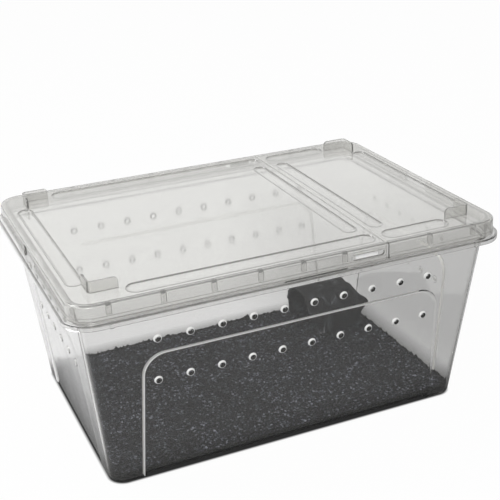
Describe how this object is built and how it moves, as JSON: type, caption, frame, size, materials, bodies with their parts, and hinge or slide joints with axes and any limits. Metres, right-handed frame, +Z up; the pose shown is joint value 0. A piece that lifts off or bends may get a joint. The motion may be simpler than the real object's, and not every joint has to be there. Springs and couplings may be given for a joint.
{
  "type": "plastic pet keeper",
  "caption": "Clear moulded tub with vented, tapered walls and a press-fit hinged lid in two panels, holding dark substrate and a bark hide.",
  "frame": {"origin": "middle of the base, on the surface that the four feet stand on", "axes": "+X along the long walls, towards the feeding door; +Y from the front wall to the back wall; +Z up"},
  "size_m": [0.3228, 0.2308, 0.1552],
  "materials": {
    "clear_plastic": "clear moulded plastic, glossy",
    "milky_plastic": "slightly milky moulded plastic, satin gloss",
    "hinge_plastic": "thin milky plastic",
    "dark_substrate": "fine loose grains, matt with small glints",
    "dark_bark": "rough dark bark"
  },
  "bodies": {
    "keeper": {"tub": "clear_plastic", "substrate": "dark_substrate", "bark_hide": "dark_bark"},
    "cover": {"lid_cover": "milky_plastic", "hinge_bead": "hinge_plastic"},
    "door": {"feeding_door": "milky_plastic"}
  },
  "joints": [
    {"name": "lid_lift", "type": "slide", "parent": "keeper", "child": "cover", "axis": [0, 0, 1], "range_m": [0, 0.06]},
    {"name": "door_hinge", "type": "hinge", "parent": "cover", "child": "door", "pos_m": [0.0635, 0, 0.1472], "axis": [0, -1, 0], "range_deg": [0, 160]}
  ]
}
